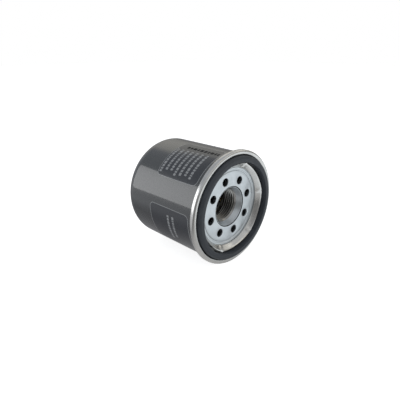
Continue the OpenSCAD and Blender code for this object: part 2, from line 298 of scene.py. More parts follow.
@dataclass
class Nodes:
    """Builds and joins the nodes of one node tree."""

    tree: bpy.types.NodeTree

    def add(self, kind: str, **settings: object) -> bpy.types.Node:
        """Adds a node of this kind with these settings."""
        node = self.tree.nodes.new(kind)
        for name, value in settings.items():
            setattr(node, name, value)
        return node

    def join(
        self, source: bpy.types.NodeSocket, node: bpy.types.Node, socket: str | int
    ) -> None:
        """Links a source socket to a node's input."""
        self.tree.links.new(source, node.inputs[socket])

    def maths(
        self, operation: str, a: bpy.types.NodeSocket, b: bpy.types.NodeSocket | float = 0.0
    ) -> bpy.types.NodeSocket:
        """Does one sum.

        Args:
            operation: The Math node's operation.
            a: The first value.
            b: The second value, a socket or a number.

        Returns:
            The result's socket.
        """
        node = self.add("ShaderNodeMath", operation=operation)
        self.join(a, node, 0)
        if isinstance(b, bpy.types.NodeSocket):
            self.join(b, node, 1)
        else:
            node.inputs[1].default_value = b
        return node.outputs[0]

    def spread(
        self,
        value: bpy.types.NodeSocket,
        source: tuple[float, float],
        target: tuple[float, float],
        smooth: bool = False,
    ) -> bpy.types.NodeSocket:
        """Maps a value from one range onto another.

        Args:
            value: The value's socket.
            source: The range it comes in.
            target: The range it goes to.
            smooth: True for soft ends.

        Returns:
            The mapped value's socket.
        """
        node = self.add(
            "ShaderNodeMapRange", interpolation_type="SMOOTHSTEP" if smooth else "LINEAR"
        )
        self.join(value, node, "Value")
        node.inputs["From Min"].default_value, node.inputs["From Max"].default_value = source
        node.inputs["To Min"].default_value, node.inputs["To Max"].default_value = target
        return node.outputs["Result"]

    def mixed(
        self,
        share: bpy.types.NodeSocket,
        a: Colour | bpy.types.NodeSocket,
        b: Colour | bpy.types.NodeSocket,
    ) -> bpy.types.NodeSocket:
        """Mixes two colours.

        Args:
            share: How much of b shows.
            a: The colour where share is 0.
            b: The colour where share is 1.

        Returns:
            The mixed colour's socket.
        """
        node = self.add("ShaderNodeMix", data_type="RGBA")
        self.join(share, node, 0)
        for socket, colour in ((node.inputs[6], a), (node.inputs[7], b)):
            if isinstance(colour, bpy.types.NodeSocket):
                self.tree.links.new(colour, socket)
            else:
                socket.default_value = (*colour, 1.0)
        return node.outputs[2]


@dataclass
class EffectGroups:
    """The shader effects that several finishes share, each built once."""

    built: dict[str, bpy.types.NodeTree] = field(default_factory=dict)

    def _start(
        self, name: str, inputs: Sequence[tuple[str, float]], outputs: Sequence[str]
    ) -> tuple[Nodes, bpy.types.Node, bpy.types.Node]:
        """Starts a group with named values in and out.

        Args:
            name: The group's name.
            inputs: Each input's name and default value.
            outputs: Each output's name.

        Returns:
            The group's nodes, its input node and its output node.
        """
        tree = bpy.data.node_groups.new(name, "ShaderNodeTree")
        for label, value in inputs:
            socket = tree.interface.new_socket(
                label, in_out="INPUT", socket_type="NodeSocketFloat"
            )
            socket.default_value = value
        for label in outputs:
            tree.interface.new_socket(label, in_out="OUTPUT", socket_type="NodeSocketFloat")
        nodes = Nodes(tree)
        self.built[name] = tree
        return nodes, nodes.add("NodeGroupInput"), nodes.add("NodeGroupOutput")

    def grain(self) -> bpy.types.NodeTree:
        """Returns the group for cloudy or grainy variation, from 0 to 1."""
        if "grain" not in self.built:
            nodes, given, out = self._start(
                "grain", [("Scale", 100.0), ("Detail", 3.0)], ["Value"]
            )
            where = nodes.add("ShaderNodeTexCoord")
            noise = nodes.add("ShaderNodeTexNoise")
            nodes.join(where.outputs["Object"], noise, "Vector")
            nodes.join(given.outputs["Scale"], noise, "Scale")
            nodes.join(given.outputs["Detail"], noise, "Detail")
            nodes.join(nodes.spread(noise.outputs[0], (0.3, 0.7), (0, 1)), out, "Value")
        return self.built["grain"]

    def turning_marks(self) -> bpy.types.NodeTree:
        """Returns the group for fine lines that run round the axis."""
        if "turning_marks" not in self.built:
            nodes, given, out = self._start(
                "turning_marks", [("Lines per metre", 4000.0), ("Break-up", 60.0)], ["Value"]
            )
            where = nodes.add("ShaderNodeTexCoord")
            split = nodes.add("ShaderNodeSeparateXYZ")
            nodes.join(where.outputs["Object"], split, 0)
            squares = nodes.maths(
                "ADD",
                nodes.maths("MULTIPLY", split.outputs[1], split.outputs[1]),
                nodes.maths("MULTIPLY", split.outputs[2], split.outputs[2]),
            )
            radius = nodes.maths("SQRT", squares)
            line = nodes.add("ShaderNodeCombineXYZ")
            nodes.join(
                nodes.maths("MULTIPLY", radius, given.outputs["Lines per metre"]), line, 0
            )
            nodes.join(
                nodes.maths("MULTIPLY", split.outputs[0], given.outputs["Lines per metre"]),
                line,
                1,
            )
            fine = nodes.add("ShaderNodeTexNoise", noise_dimensions="2D")
            fine.inputs["Scale"].default_value = 1.0
            fine.inputs["Detail"].default_value = 2.0
            nodes.join(line.outputs[0], fine, "Vector")
            patches = nodes.add("ShaderNodeTexNoise")
            nodes.join(where.outputs["Object"], patches, "Vector")
            nodes.join(given.outputs["Break-up"], patches, "Scale")
            soft = nodes.spread(patches.outputs[0], (0.3, 0.7), (0.35, 1.0))
            centred = nodes.maths("SUBTRACT", fine.outputs[0], 0.5)
            value = nodes.maths("ADD", nodes.maths("MULTIPLY", centred, soft), 0.5)
            nodes.join(value, out, "Value")
        return self.built["turning_marks"]

    def edge_wear(self) -> bpy.types.NodeTree:
        """Returns the group for a mask of rubbed edges."""
        if "edge_wear" not in self.built:
            nodes, given, out = self._start(
                "edge_wear", [("Amount", 0.5), ("Scale", 900.0)], ["Mask"]
            )
            shape = nodes.add("ShaderNodeNewGeometry")
            where = nodes.add("ShaderNodeTexCoord")
            noise = nodes.add("ShaderNodeTexNoise")
            nodes.join(where.outputs["Object"], noise, "Vector")
            nodes.join(given.outputs["Scale"], noise, "Scale")
            edge = nodes.spread(shape.outputs["Pointiness"], (0.52, 0.62), (0, 1), smooth=True)
            patchy = nodes.spread(noise.outputs[0], (0.4, 0.62), (0, 1), smooth=True)
            patchy_edge = nodes.maths("MULTIPLY", edge, patchy)
            mask = nodes.maths("MULTIPLY", patchy_edge, given.outputs["Amount"])
            nodes.join(mask, out, "Mask")
        return self.built["edge_wear"]

    def dust(self) -> bpy.types.NodeTree:
        """Returns the group for a mask of dust on what faces up."""
        if "dust" not in self.built:
            nodes, given, out = self._start("dust", [("Amount", 0.1), ("Scale", 500.0)], ["Mask"])
            shape = nodes.add("ShaderNodeNewGeometry")
            split = nodes.add("ShaderNodeSeparateXYZ")
            nodes.join(shape.outputs["Normal"], split, 0)
            where = nodes.add("ShaderNodeTexCoord")
            noise = nodes.add("ShaderNodeTexNoise")
            noise.inputs["Detail"].default_value = 6.0
            nodes.join(where.outputs["Object"], noise, "Vector")
            nodes.join(given.outputs["Scale"], noise, "Scale")
            up = nodes.spread(split.outputs[2], (-0.2, 1.0), (0, 1), smooth=True)
            specks = nodes.spread(noise.outputs[0], (0.45, 0.7), (0, 1), smooth=True)
            settled = nodes.maths("MULTIPLY", up, specks)
            mask = nodes.maths("MULTIPLY", settled, given.outputs["Amount"])
            nodes.join(mask, out, "Mask")
        return self.built["dust"]


EFFECTS = EffectGroups()


@dataclass(frozen=True)
class Finish:
    """What every finish shares: a name and a principled shader."""

    name: str

    def start(self) -> tuple[bpy.types.Material, Nodes, bpy.types.Node]:
        """Starts the material.

        Returns:
            The material, its nodes and its principled shader.
        """
        material = bpy.data.materials.new(self.name)
        material.use_nodes = True
        nodes = Nodes(material.node_tree)
        return material, nodes, material.node_tree.nodes["Principled BSDF"]

    @staticmethod
    def effect(
        nodes: Nodes, group: bpy.types.NodeTree, **values: float
    ) -> bpy.types.NodeSocket:
        """Places a shared effect.

        Args:
            nodes: The material's nodes.
            group: The effect's node group.
            values: The group's inputs, with _ for a space or a hyphen.

        Returns:
            The effect's first output.
        """
        node = nodes.add("ShaderNodeGroup", node_tree=group)
        names = {key.name.replace(" ", "_").replace("-", "_"): key for key in node.inputs}
        for label, value in values.items():
            names[label].default_value = value
        return node.outputs[0]

    @staticmethod
    def bump(
        nodes: Nodes,
        shader: bpy.types.Node,
        height: bpy.types.NodeSocket,
        distance: float,
        strength: float = 1.0,
    ) -> None:
        """Adds surface relief.

        Args:
            nodes: The material's nodes.
            shader: The principled shader.
            height: The relief's height, from 0 to 1.
            distance: The relief's depth in millimetres.
            strength: How much of it shows.
        """
        relief = nodes.add("ShaderNodeBump")
        relief.inputs["Distance"].default_value = distance * MM
        relief.inputs["Strength"].default_value = strength
        nodes.join(height, relief, "Height")
        nodes.join(relief.outputs[0], shader, "Normal")


@dataclass(frozen=True)
class GlossPaint(Finish):
    """Baked gloss paint: a dark body under a clear skin with a faint orange peel."""

    body: Colour = (0.027, 0.031, 0.034)
    cloud: Colour = (0.034, 0.039, 0.043)
    worn: Colour = (0.16, 0.165, 0.17)
    dusty: Colour = (0.2, 0.19, 0.17)
    roughness: tuple[float, float] = (0.24, 0.32)
    peel: float = 0.02

    def make(self) -> bpy.types.Material:
        """Returns the material."""
        material, nodes, shader = self.start()
        cloud = self.effect(nodes, EFFECTS.grain(), Scale=45.0, Detail=3.0)
        speck = self.effect(nodes, EFFECTS.grain(), Scale=2600.0, Detail=1.0)
        peel = self.effect(nodes, EFFECTS.grain(), Scale=620.0, Detail=1.5)
        worn = self.effect(nodes, EFFECTS.edge_wear(), Amount=0.5, Scale=1500.0)
        dust = self.effect(nodes, EFFECTS.dust(), Amount=0.05, Scale=900.0)
        colour = nodes.mixed(cloud, self.body, self.cloud)
        colour = nodes.mixed(worn, colour, self.worn)
        colour = nodes.mixed(dust, colour, self.dusty)
        nodes.join(colour, shader, "Base Color")
        nodes.join(nodes.spread(speck, (0, 1), self.roughness), shader, "Roughness")
        shader.inputs["Specular IOR Level"].default_value = 0.5
        shader.inputs["Coat Weight"].default_value = 1.0
        shader.inputs["Coat Roughness"].default_value = 0.06
        shader.inputs["Coat IOR"].default_value = 1.55
        self.bump(nodes, shader, peel, self.peel, 0.25)
        return material


@dataclass(frozen=True)
class PressedSteel(Finish):
    """Sheet or wire steel with fine drawing lines, clouds and rubbed edges."""

    tint: Colour = (0.72, 0.72, 0.7)
    dull: Colour = (0.6, 0.6, 0.58)
    roughness: tuple[float, float] = (0.22, 0.36)
    lines: float = 5000.0
    relief: float = 0.004
    cloud_scale: float = 160.0

    def make(self) -> bpy.types.Material:
        """Returns the material."""
        material, nodes, shader = self.start()
        cloud = self.effect(nodes, EFFECTS.grain(), Scale=self.cloud_scale, Detail=5.0)
        marks = self.effect(
            nodes, EFFECTS.turning_marks(), Lines_per_metre=self.lines, Break_up=120.0
        )
        worn = self.effect(nodes, EFFECTS.edge_wear(), Amount=0.6, Scale=1200.0)
        colour = nodes.mixed(cloud, self.tint, self.dull)
        bright = tuple(min(1.0, part * 1.2) for part in self.tint)
        colour = nodes.mixed(worn, colour, bright)
        nodes.join(colour, shader, "Base Color")
        shader.inputs["Metallic"].default_value = 1.0
        streaks = nodes.spread(marks, (0.35, 0.65), self.roughness)
        nodes.join(streaks, shader, "Roughness")
        self.bump(nodes, shader, marks, self.relief)
        return material


@dataclass(frozen=True)
class MouldedRubber(Finish):
    """Moulded rubber with a matt, slightly bloomed skin."""

    body: Colour = (0.06, 0.069, 0.082)
    bloom: Colour = (0.085, 0.096, 0.112)
    roughness: tuple[float, float] = (0.42, 0.6)
    relief: float = 0.03

    def make(self) -> bpy.types.Material:
        """Returns the material."""
        material, nodes, shader = self.start()
        cloud = self.effect(nodes, EFFECTS.grain(), Scale=240.0, Detail=6.0)
        skin = self.effect(nodes, EFFECTS.grain(), Scale=3800.0, Detail=2.0)
        worn = self.effect(nodes, EFFECTS.edge_wear(), Amount=0.35, Scale=2000.0)
        colour = nodes.mixed(nodes.spread(cloud, (0.2, 1.0), (0.0, 0.6)), self.body, self.bloom)
        nodes.join(nodes.mixed(worn, colour, self.bloom), shader, "Base Color")
        nodes.join(nodes.spread(cloud, (0, 1), self.roughness), shader, "Roughness")
        shader.inputs["Specular IOR Level"].default_value = 0.45
        self.bump(nodes, shader, skin, self.relief, 0.4)
        return material


@dataclass(frozen=True)
class PrintedInk(Finish):
    """A thin film of screen-printed ink with slightly uneven cover."""

    ink: Colour = (0.4, 0.41, 0.42)
    thin: Colour = (0.27, 0.28, 0.29)
    roughness: tuple[float, float] = (0.25, 0.4)
    gloss: float = 0.6

    def make(self) -> bpy.types.Material:
        """Returns the material."""
        material, nodes, shader = self.start()
        cover = self.effect(nodes, EFFECTS.grain(), Scale=1400.0, Detail=4.0)
        nodes.join(nodes.mixed(cover, self.ink, self.thin), shader, "Base Color")
        nodes.join(nodes.spread(cover, (0, 1), self.roughness), shader, "Roughness")
        shader.inputs["Coat Weight"].default_value = self.gloss
        shader.inputs["Coat Roughness"].default_value = 0.08
        self.bump(nodes, shader, cover, 0.004)
        return material


@dataclass(frozen=True)
class SetAdhesive(Finish):
    """Cured adhesive or sealing compound: smooth, a little cloudy, slightly uneven."""

    body: Colour = (0.5, 0.36, 0.17)
    pale: Colour = (0.62, 0.49, 0.28)

    def make(self) -> bpy.types.Material:
        """Returns the material."""
        material, nodes, shader = self.start()
        cloud = self.effect(nodes, EFFECTS.grain(), Scale=300.0, Detail=4.0)
        waves = self.effect(nodes, EFFECTS.grain(), Scale=420.0, Detail=1.0)
        nodes.join(nodes.mixed(cloud, self.body, self.pale), shader, "Base Color")
        nodes.join(nodes.spread(cloud, (0, 1), (0.25, 0.45)), shader, "Roughness")
        shader.inputs["Subsurface Weight"].default_value = 0.1
        shader.inputs["Subsurface Scale"].default_value = 0.5 * MM
        self.bump(nodes, shader, waves, 0.15, 0.6)
        return material


@dataclass(frozen=True)
class FilterPaper(Finish):
    """Resin-soaked filter paper with loose fibres."""

    body: Colour = (0.72, 0.56, 0.3)
    fibre: Colour = (0.84, 0.72, 0.48)

    def make(self) -> bpy.types.Material:
        """Returns the material."""
        material, nodes, shader = self.start()
        where = nodes.add("ShaderNodeTexCoord")
        stretch = nodes.add("ShaderNodeMapping")
        stretch.inputs["Scale"].default_value = (0.35, 1.0, 1.0)
        nodes.join(where.outputs["Object"], stretch, "Vector")
        fibres = nodes.add("ShaderNodeTexNoise")
        fibres.inputs["Scale"].default_value = 2400.0
        fibres.inputs["Detail"].default_value = 5.0
        fibres.inputs["Distortion"].default_value = 1.5
        nodes.join(stretch.outputs[0], fibres, "Vector")
        cloud = self.effect(nodes, EFFECTS.grain(), Scale=200.0, Detail=3.0)
        threads = nodes.spread(fibres.outputs[0], (0.35, 0.65), (0, 1))
        colour = nodes.mixed(threads, self.body, self.fibre)
        stained = tuple(part * 0.82 for part in self.body)
        colour = nodes.mixed(nodes.spread(cloud, (0, 1), (0, 0.4)), colour, stained)
        nodes.join(colour, shader, "Base Color")
        nodes.join(nodes.spread(fibres.outputs[0], (0.3, 0.7), (0.75, 0.95)), shader, "Roughness")
        self.bump(nodes, shader, fibres.outputs[0], 0.06, 0.7)
        return material


# --------------------------------------------------------------------------
# Housing
# --------------------------------------------------------------------------


@dataclass
class Can:
    """The deep-drawn, painted can."""

    thickness: float = 0.4
    radius: float = 31.8
    end_depth: float = field(default_factory=lambda: span("can")[0] + 0.2)
    flat_radius: float = 8.0
    crown_rise: float = 1.0
    crown_bend: float = 40.0
    shoulder: float = 9.5
    curl_depth: float = -2.55
    curl_bend: float = 0.49
    hook_radius: float = 32.8
    hook_depth: float = -4.13
    paint: GlossPaint = GlossPaint("can_gloss_paint")

    def build(self) -> bpy.types.Object:
        """Returns the can's shell, rolled over at its edge."""
        middle = bent_wire(
            [
                Corner(0.0, self.end_depth),
                Corner(self.flat_radius, self.end_depth, self.crown_bend, 4),
                Corner(self.radius, self.end_depth + self.crown_rise, self.shoulder, 18),
                Corner(self.radius, self.curl_depth, self.curl_bend, 5),
                Corner(self.hook_radius, self.curl_depth, self.curl_bend, 5),
                Corner(self.hook_radius, self.hook_depth),
            ],
            closed=False,
        )
        turn_round(middle)
        shell = thicken(middle, self.thickness)
        return Piece("can_shell", Body.HOUSING, "can_paint", ("can",)).build(
            shell, [self.paint.make()]
        )


@dataclass
class PrintedPanel:
    """A printed panel on the can: a tinted field, its outline and rows of plain dashes.

    Angles are in degrees from the top of the can towards -Y.
    """

    name: str
    depths: tuple[float, float]
    angles: tuple[float, float]
    rows: Sequence[tuple[float, float, float, float]]
    seed: int
    heading: tuple[float, float, float, float] | None = None
    wall: float = 32.0
    film: float = 0.02
    line: float = 0.32
    corner: float = 3.0
    step: float = 1.4
    field_sink: float = 0.01
    mark_lift: float = 0.015
    dash_lengths: tuple[float, float] = (0.7, 2.0)
    dash_gap: float = 0.5
    block_lengths: tuple[float, float] = (1.2, 3.2)
    block_gap: float = 0.8
    field_ink: PrintedInk = PrintedInk(
        "print_field_ink", (0.024, 0.028, 0.036), (0.031, 0.035, 0.044)
    )
    line_ink: PrintedInk = PrintedInk("print_line_ink")
    heading_ink: PrintedInk = PrintedInk(
        "print_heading_ink", (0.01, 0.01, 0.011), (0.016, 0.016, 0.017), (0.7, 0.85), 0.0
    )

    def _patch(
        self,
        bm: bmesh.types.BMesh,
        depths: tuple[float, float],
        arcs: tuple[float, float],
        corner: float,
        line: float,
        lift: float,
        ink: int,
    ) -> None:
        """Adds one closed patch of ink, flat, with rounded corners.

        Args:
            bm: The flat print, with arc length along Y and height along Z.
            depths: Where it starts and ends along the can.
            arcs: Where it starts and ends round the can, in millimetres.
            corner: Radius of its corners.
            line: Width of an outline in the line ink, or 0.
            lift: Height of its underside above the paint.
            ink: Material index of the patch.
        """
        patch = bmesh.new()
        back, front = depths
        ends = [(back, arcs[0]), (front, arcs[0]), (front, arcs[1]), (back, arcs[1])]
        face = patch.faces.new([patch.verts.new((x * MM, y * MM, 0)) for x, y in ends])
        face.material_index = ink
        if corner:
            bmesh.ops.bevel(
                patch,
                geom=patch.verts[:],
                offset=corner * MM,
                offset_type="OFFSET",
                segments=6,
                profile=0.5,
                affect="VERTICES",
                material=-1,
            )
        if line:
            rim = bmesh.ops.inset_individual(
                patch, faces=patch.faces[:], thickness=line * MM, use_even_offset=True
            )
            for strip in rim["faces"]:
                strip.material_index = LINE_INK
        cuts = int((arcs[1] - arcs[0]) / self.step)
        for cut in range(1, cuts + 1):
            arc = arcs[0] + cut * (arcs[1] - arcs[0]) / (cuts + 1)
            bmesh.ops.bisect_plane(
                patch,
                geom=patch.verts[:] + patch.edges[:] + patch.faces[:],
                plane_co=(0, arc * MM, 0),
                plane_no=(0, 1, 0),
                dist=1e-7,
            )
        bmesh.ops.recalc_face_normals(patch, faces=patch.faces)
        for face in patch.faces:
            if face.normal.z < 0:
                face.normal_flip()
        bmesh.ops.solidify(patch, geom=patch.faces[:], thickness=self.film * MM)
        low = min(vert.co.z for vert in patch.verts)
        bmesh.ops.translate(patch, verts=patch.verts, vec=(0, 0, lift * MM - low))
        bmesh.ops.recalc_face_normals(patch, faces=patch.faces)
        append(bm, patch)

    def _arc(self, degrees: float) -> float:
        """Returns the length round the can of an angle, in millimetres."""
        return math.radians(degrees) * self.wall

    def _wrap(self, bm: bmesh.types.BMesh) -> None:
        """Rolls the flat print onto the can."""
        for vert in bm.verts:
            angle = vert.co.y / (self.wall * MM)
            radius = self.wall * MM + vert.co.z
            vert.co = Vector(
                (vert.co.x, -radius * math.sin(angle), radius * math.cos(angle))
            )

    def build(self) -> bpy.types.Object:
        """Returns the print, rolled onto the can."""
        draw = random.Random(self.seed)
        bm = bmesh.new()
        arcs = (self._arc(self.angles[0]), self._arc(self.angles[1]))
        self._patch(
            bm, self.depths, arcs, self.corner, self.line, -self.field_sink, FIELD_INK
        )
        if self.heading:
            back, front, start, end = self.heading
            self._heading(bm, draw, (back, front), (start, end))
        for depth, height, start, end in self.rows:
            edges = (depth - height / 2, depth + height / 2)
            self._dashes(bm, draw, edges, (start, end))
        self._wrap(bm)
        inks = [self.field_ink.make(), self.line_ink.make()]
        inks.append(self.heading_ink.make())
        return Piece(self.name, Body.HOUSING, "can_paint").build(bm, inks)

    def _heading(
        self,
        bm: bmesh.types.BMesh,
        draw: random.Random,
        depths: tuple[float, float],
        angles: tuple[float, float],
    ) -> None:
        """Adds a row of plain dark blocks that runs along the can.

        Args:
            bm: The flat print.
            draw: The seeded choice of lengths.
            depths: Where the row starts and ends along the can.
            angles: The row's two edges, in degrees.
        """
        arcs = (self._arc(angles[0]), self._arc(angles[1]))
        depth = depths[0]
        while depth < depths[1] - 1.0:
            end = min(depths[1], depth + draw.uniform(*self.block_lengths))
            self._patch(bm, (depth, end), arcs, 0.0, 0.0, self.mark_lift, HEADING_INK)
            depth = end + self.block_gap

    def _dashes(
        self,
        bm: bmesh.types.BMesh,
        draw: random.Random,
        depths: tuple[float, float],
        angles: tuple[float, float],
    ) -> None:
        """Adds a row of plain dashes that runs round the can.

        Args:
            bm: The flat print.
            draw: The seeded choice of lengths.
            depths: The row's two edges along the can.
            angles: Where the row starts and ends, in degrees.
        """
        arc, last = self._arc(angles[0]), self._arc(angles[1])
        while arc < last - self.dash_lengths[0]:
            end = min(last, arc + draw.uniform(*self.dash_lengths))
            self._patch(bm, depths, (arc, end), 0.0, 0.0, self.mark_lift, LINE_INK)
            arc = end + self.dash_gap


@dataclass
class SeamingLid:
    """The bright ring that is rolled round the can's edge, with its six-cornered lip."""

    thickness: float = 0.5
    hook: tuple[float, float] = (32.3, -2.95)
    seam_back: float = -4.85
    skirt_radius: float = 33.75
    crest: float = -2.05
    chuck_radius: float = 31.3
    floor: float = -5.95
    fold_radius: float = 23.1
    lip: tuple[float, float] = (25.7, -3.05)
    lip_rise: float = 1.2
    pip_rise: float = 0.3
    pip_width: float = 1.6
    crease_dent: float = 0.55
    crease_width: float = 2.4
    sides: int = 6
    first_corner: float = 8.8
    steel: PressedSteel = PressedSteel(
        "lid_bright_steel", (0.78, 0.775, 0.76), (0.66, 0.655, 0.64), (0.17, 0.3), 6000.0, 0.005
    )

    def _off_corner(self, angle: float) -> float:
        """Returns how far an angle is from the nearest lip corner, in degrees."""
        step = 360 / self.sides
        return abs((angle - self.first_corner + step / 2) % step - step / 2)

    def _outline(self, angle: float) -> float:
        """Returns how far the lip stands out at an angle, beyond its sides' middles."""
        off = self._off_corner(angle) / (180 / self.sides)
        bowed = (self.lip_rise - self.pip_rise) * (1 - math.sin(off * math.pi / 2))
        pip = self.pip_rise * math.exp(-((self._off_corner(angle) / self.pip_width) ** 2))
        return bowed + pip

    def _form_lip(self, bm: bmesh.types.BMesh) -> None:
        """Stretches the round lip out into its six corners."""
        reach = self.lip[0] - self.fold_radius
        for vert in bm.verts:
            radius = radius_of(vert.co)
            if radius > self.lip[0] + 0.01 or vert.co.x / MM < self.floor + 0.05:
                continue
            share = max(0.0, min(1.0, (radius - self.fold_radius) / reach))
            angle = math.degrees(math.atan2(vert.co.z, vert.co.y))
            crease = math.exp(-((self._off_corner(angle) / self.crease_width) ** 2))
            dent = self.crease_dent * crease * math.sin(math.pi * share)
            move_radially(vert, self._outline(angle) * share**1.5 - dent)

    def build(self) -> bpy.types.Object:
        """Returns the lid."""
        middle = bent_wire(
            [
                Corner(*self.hook),
                Corner(self.hook[0], self.seam_back, 0.715, 6),
                Corner(self.skirt_radius, self.seam_back, 0.715, 6),
                Corner(self.skirt_radius, self.crest, 0.95, 8),
                Corner(self.chuck_radius, self.crest, 0.95, 8),
                Corner(self.chuck_radius, self.floor, 0.8, 6),
                Corner(self.fold_radius, self.floor, 0.35, 6),
                Corner(24.4, -4.5, 1.5, 4),
                Corner(25.2, -3.55, 0.5, 4),
                Corner(*self.lip),
            ],
            closed=False,
        )
        turn_round(middle, 360)
        self._form_lip(middle)
        sheet = thicken(middle, self.thickness)
        break_edges(sheet, 0.12)
        return Piece("seaming_lid_ring", Body.HOUSING, "lid_steel", ("seaming_lid",)).build(
            sheet, [self.steel.make()]
        )


@dataclass
class TappingPlate:
    """The thick plate with its inlet holes and threaded neck."""

    face: float = -6.2
    back: float = -8.7
    radius: float = 31.3
    neck_radius: float = 11.588
    neck_end: float = -18.5
    thread_radius: float = 9.188
    thread_height: float = 0.812
    pitch: float = 1.5
    mouth_radius: float = 11.988
    lead_in_radius: float = 10.188
    lead_in_depth: float = -10.0
    hole_ring: float = 16.388
    hole_radius: float = 2.4
    hole_count: int = 8
    first_hole: float = 15.1
    hole_round: float = 0.22
    zone: tuple[float, float] = (13.1, 20.2)
    step_radius: float = 21.2
    step_depth: float = 0.35
    groove_depth: float = 1.5
    thread_cuts: int = 180
    steel: PressedSteel = PressedSteel(
        "plate_satin_zinc", (0.74, 0.78, 0.81), (0.66, 0.7, 0.73), (0.3, 0.42), 2500.0, 0.004, 260.0
    )
    cut_steel: PressedSteel = PressedSteel(
        "thread_cut_steel", (0.46, 0.455, 0.44), (0.3, 0.295, 0.285), (0.14, 0.26), 9000.0, 0.004
    )
    # Near-black steel on the mouth groove's faces: painted shade, so the narrow groove reads as a
    # black line.
    groove_steel: PressedSteel = PressedSteel(
        "groove_dark_steel", (0.05, 0.05, 0.05), (0.03, 0.03, 0.03), (0.5, 0.7)
    )

    def _hole_centres(self) -> list[tuple[float, float]]:
        """Returns the inlet holes' Y and Z, in millimetres."""
        step = 360 / self.hole_count
        turns = [math.radians(self.first_hole + step * i) for i in range(self.hole_count)]
        return [(self.hole_ring * math.cos(t), self.hole_ring * math.sin(t)) for t in turns]

    def _outer(self) -> bmesh.types.BMesh:
        """Returns everything outside the holes' zone, turned: rim and both faces."""
        wire = bent_wire(
            [
                Corner(self.zone[1], self.face),
                Corner(self.step_radius, self.face, 0.15, 3),
                Corner(self.step_radius + 0.3, self.face - self.step_depth, 0.15, 3),
                Corner(self.step_radius + 0.8, self.face - self.step_depth, 0.15, 3),
                Corner(self.step_radius + 1.1, self.face, 0.15, 3),
                Corner(self.radius, self.face, 0.3, 3),
                Corner(self.radius, self.back, 0.3, 3),
                Corner(self.zone[1], self.back),
            ],
            closed=False,
        )
        turn_round(wire)
        return wire

    def _neck(self) -> bmesh.types.BMesh:
        """Returns everything inside the holes' zone, turned, with the thread cut."""
        wire = bent_wire(
            [
                Corner(self.zone[0], self.back),
                Corner(self.neck_radius, self.back, 1.4, 6),
                Corner(self.neck_radius, self.neck_end, 0.4, 3),
                Corner(self.thread_radius + 0.5, self.neck_end),
                Corner(self.thread_radius, self.neck_end + 0.5),
                Corner(self.lead_in_radius, self.lead_in_depth),
                Corner(self.mouth_radius - 0.4, self.face - 0.3, 0.1, 3),
                Corner(self.mouth_radius - 0.2, self.face - 0.3, 0.06, 2),
                Corner(self.mouth_radius - 0.2, self.face - self.groove_depth),
                Corner(self.mouth_radius + 0.3, self.face - self.groove_depth),
                Corner(self.mouth_radius + 0.3, self.face, 0.12, 3),
                Corner(self.zone[0], self.face),
            ],
            closed=False,
        )
        bore = [
            e
            for e in wire.edges
            if all(
                self.neck_end + 0.4 < v.co.x / MM < self.lead_in_depth + 0.1
                and v.co.y / MM < self.lead_in_radius + 0.1
                for v in e.verts
            )
        ]
        bmesh.ops.subdivide_edges(wire, edges=bore, cuts=self.thread_cuts)
        turn_round(wire)
        for vert in wire.verts:
            self._cut_thread(vert)
        return wire

    def _cut_thread(self, vert: bmesh.types.BMVert) -> None:
        """Moves a vertex of the bore out into the thread's groove, if it lies there."""
        depth = vert.co.x / MM
        radius = radius_of(vert.co)
        in_thread = self.neck_end - 0.01 < depth < self.lead_in_depth - 0.01
        if radius > self.lead_in_radius + 0.01 or not in_thread:
            return
        turn = math.atan2(vert.co.z, vert.co.y) / math.tau
        phase = (depth / self.pitch - turn) % 1.0
        off = abs(phase - 0.5)
        crest, root = 0.375, 0.0625
        share = 1.0 - max(0.0, min(1.0, (off - root) / (crest - root)))
        bore = self.thread_radius
        depth_in = depth - self.lead_in_depth
        if depth_in > -1.0:
            bore = self.lead_in_radius + depth_in
        if depth < self.neck_end + 0.5:
            bore = self.thread_radius + self.neck_end + 0.5 - depth
        groove = self.thread_radius + self.thread_height * share
        move_radially(vert, max(bore, groove) - radius)

    def _holed_face(self, bm: bmesh.types.BMesh, depth: float) -> list[bmesh.types.BMEdge]:
        """Fills the holes' zone of one face, and leaves the holes open.

        Args:
            bm: The plate, whose turned parts end at the zone's two circles.
            depth: The face's depth.

        Returns:
            The edges of the holes' rims.
        """
        bmesh.ops.recalc_face_normals(bm, faces=bm.faces)
        flat = depth * MM
        facing_x = Matrix.Rotation(math.pi / 2, 4, "Y")
        rims = []
        for y, z in self._hole_centres():
            ring = bmesh.ops.create_circle(
                bm,
                cap_ends=False,
                radius=(self.hole_radius + self.hole_round) * MM,
                segments=48,
                matrix=Matrix.Translation((flat, y * MM, z * MM)) @ facing_x,
            )
            rims += list({e for v in ring["verts"] for e in v.link_edges})
        edge_of_zone = [
            e
            for e in bm.edges
            if e.is_boundary
            and all(
                abs(v.co.x - flat) < 1e-6
                and min(abs(radius_of(v.co) - r) for r in self.zone) < 0.01
                for v in e.verts
            )
        ]
        bmesh.ops.triangle_fill(bm, edges=rims + edge_of_zone, use_beauty=True, use_dissolve=False)
        return rims

